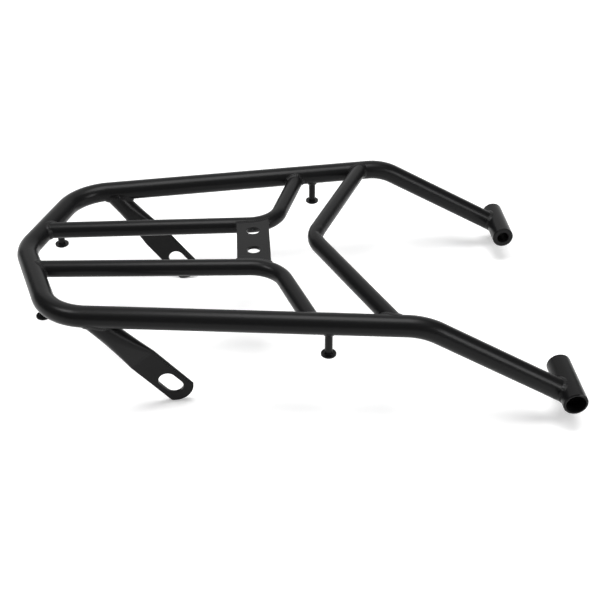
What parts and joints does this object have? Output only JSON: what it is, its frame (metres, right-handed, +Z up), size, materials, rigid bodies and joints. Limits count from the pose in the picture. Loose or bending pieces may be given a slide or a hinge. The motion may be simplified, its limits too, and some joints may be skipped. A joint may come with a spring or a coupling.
{
  "type": "motorcycle luggage rack",
  "caption": "Welded round-tube rear luggage rack for a motorcycle: outer hoop, inner rails, V brace, drilled centre plate, front bosses, slotted side legs and cord pegs.",
  "frame": {"origin": "midway between the two holes of the centre plate, on the plate's top face", "axes": "+X is the riding direction, +Y the left side of the machine, +Z up, with the deck level"},
  "size_m": [0.5245, 0.356, 0.1177],
  "materials": {
    "coated_steel": "satin black powder coat"
  },
  "bodies": {
    "root": {"outer_hoop": "coated_steel", "inner_rail_left": "coated_steel", "inner_rail_right": "coated_steel", "v_brace": "coated_steel", "centre_plate": "coated_steel", "front_boss_left": "coated_steel", "front_boss_right": "coated_steel", "leg_left": "coated_steel", "leg_right": "coated_steel", "peg_front_left": "coated_steel", "peg_front_right": "coated_steel", "peg_rear_left": "coated_steel", "peg_rear_right": "coated_steel", "weld_boss_left": "coated_steel", "weld_boss_right": "coated_steel", "weld_leg_left": "coated_steel", "weld_leg_right": "coated_steel", "weld_brace_left": "coated_steel", "weld_brace_right": "coated_steel", "weld_rail_front_left": "coated_steel", "weld_rail_front_right": "coated_steel", "weld_rail_rear_left": "coated_steel", "weld_rail_rear_right": "coated_steel", "weld_plate_left": "coated_steel", "weld_plate_right": "coated_steel", "weld_pegs": "coated_steel"}
  },
  "joints": []
}
